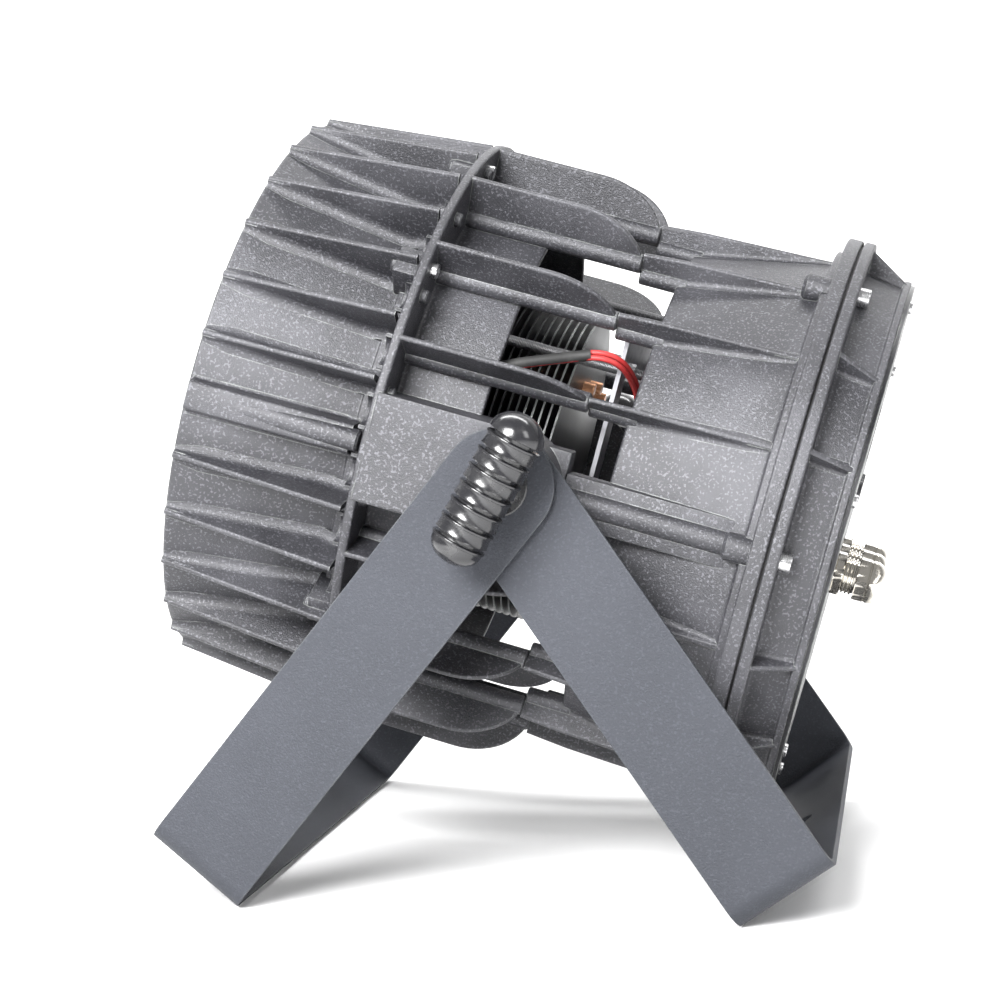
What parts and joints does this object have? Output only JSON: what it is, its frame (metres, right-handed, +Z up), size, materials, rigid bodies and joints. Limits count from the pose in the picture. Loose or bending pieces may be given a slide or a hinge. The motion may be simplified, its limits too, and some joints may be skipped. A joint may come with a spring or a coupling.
{
  "type": "par can light",
  "caption": "Finned die-cast LED par can light with an open cooling cage, sealed rear box with cable glands, and two steel yokes that stand it on a floor.",
  "frame": {"origin": "middle of the outline on the floor plane", "axes": "+Z up, +Y along the tilt pivot, away from the near side, light points to -X and 15 degrees up"},
  "size_m": [0.3514, 0.3736, 0.3569],
  "materials": {
    "cast_black": "fine-texture satin black powder coat on die-cast aluminium",
    "bar_paint": "dark blue-grey speckled powder coat on steel bar",
    "knob_black": "glossy black moulded nylon",
    "bright_steel": "bright zinc-plated steel",
    "zinc_rod": "zinc-plated threaded steel",
    "nickel": "nickel-plated brass, bright",
    "seal_rubber": "black silicone rubber",
    "clear_glass": "clear toughened glass",
    "reflector_metal": "polished vacuum-metallised reflector",
    "led_ceramic": "white ceramic-filled plastic",
    "led_phosphor": "yellow phosphor over the LED chips",
    "spreader_metal": "machined aluminium",
    "copper": "bare copper heat pipe",
    "sheet_black": "black anodised aluminium sheet",
    "bracket_steel": "grey plated sheet steel",
    "cable_red": "red silicone wire in a black sleeve",
    "supply_metal": "folded aluminium case",
    "board_green": "green solder mask on glass fibre",
    "post_brass": "turned brass",
    "display_dark": "dark display behind its window",
    "window_clear": "smoked clear polycarbonate",
    "plate_black": "smooth black painted sheet",
    "button_grey": "soft-touch grey plastic",
    "washer_nylon": "natural nylon"
  },
  "bodies": {
    "outer_yoke": {"outer_yoke": "bar_paint"},
    "head": {"front_barrel": "cast_black", "bezel_ring": "cast_black", "bezel_screws": "bright_steel", "glass_gasket": "seal_rubber", "front_glass": "clear_glass", "reflector": "reflector_metal", "led_holder": "led_ceramic", "cob_led": "led_phosphor", "heat_spreader": "spreader_metal", "heat_pipes": "copper", "heatsink_fins": "sheet_black", "barrel_gasket": "seal_rubber", "mid_cage": "cast_black", "flange_screws": "bright_steel", "tie_rods": "zinc_rod", "tie_nuts": "bright_steel", "cable_bracket": "bracket_steel", "led_cable": "cable_red", "rear_housing": "cast_black", "housing_gasket": "seal_rubber", "rear_cover": "cast_black", "cover_screws": "bright_steel", "back_plate": "plate_black", "plate_screws": "bright_steel", "gland_body_1": "nickel", "gland_body_2": "nickel", "gland_body_3": "nickel", "gland_nut_1": "nickel", "gland_nut_2": "nickel", "gland_nut_3": "nickel", "gland_seal_1": "seal_rubber", "gland_seal_2": "seal_rubber", "gland_seal_3": "seal_rubber", "gland_locknut_1": "nickel", "gland_locknut_2": "nickel", "gland_locknut_3": "nickel", "power_supply": "supply_metal", "control_board": "board_green", "board_posts": "post_brass", "display_panel": "display_dark", "display_window": "window_clear", "pivot_sleeve_near": "bright_steel", "pivot_sleeve_far": "bright_steel", "pivot_washers": "washer_nylon"},
    "inner_yoke": {"inner_yoke": "bar_paint"},
    "near_knob": {"knob_grip_near": "knob_black", "knob_stud_near": "bright_steel"},
    "far_knob": {"knob_grip_far": "knob_black", "knob_stud_far": "bright_steel"},
    "button_1": {"button_1": "button_grey"},
    "button_2": {"button_2": "button_grey"},
    "button_3": {"button_3": "button_grey"},
    "button_4": {"button_4": "button_grey"}
  },
  "joints": [
    {"name": "head_tilt", "type": "hinge", "parent": "outer_yoke", "child": "head", "pos_m": [0.0021, 0, 0.188], "axis": [0, 1, 0], "continuous": true},
    {"name": "inner_yoke_spread", "type": "hinge", "parent": "outer_yoke", "child": "inner_yoke", "pos_m": [0.0021, 0, 0.188], "axis": [0, 1, 0], "range_deg": [-106.2, 73.8]},
    {"name": "near_knob_turn", "type": "hinge", "parent": "head", "child": "near_knob", "pos_m": [0.0021, 0, 0.188], "axis": [0, -1, 0], "range_deg": [-15, 360]},
    {"name": "far_knob_turn", "type": "hinge", "parent": "head", "child": "far_knob", "pos_m": [0.0021, 0, 0.188], "axis": [0, 1, 0], "range_deg": [-15, 360]},
    {"name": "button_1_press", "type": "slide", "parent": "head", "child": "button_1", "axis": [-0.9659, 0, 0.2588], "range_m": [0, 0.0008], "stiffness_N_per_m": 2500},
    {"name": "button_2_press", "type": "slide", "parent": "head", "child": "button_2", "axis": [-0.9659, 0, 0.2588], "range_m": [0, 0.0008], "stiffness_N_per_m": 2500},
    {"name": "button_3_press", "type": "slide", "parent": "head", "child": "button_3", "axis": [-0.9659, 0, 0.2588], "range_m": [0, 0.0008], "stiffness_N_per_m": 2500},
    {"name": "button_4_press", "type": "slide", "parent": "head", "child": "button_4", "axis": [-0.9659, 0, 0.2588], "range_m": [0, 0.0008], "stiffness_N_per_m": 2500}
  ]
}
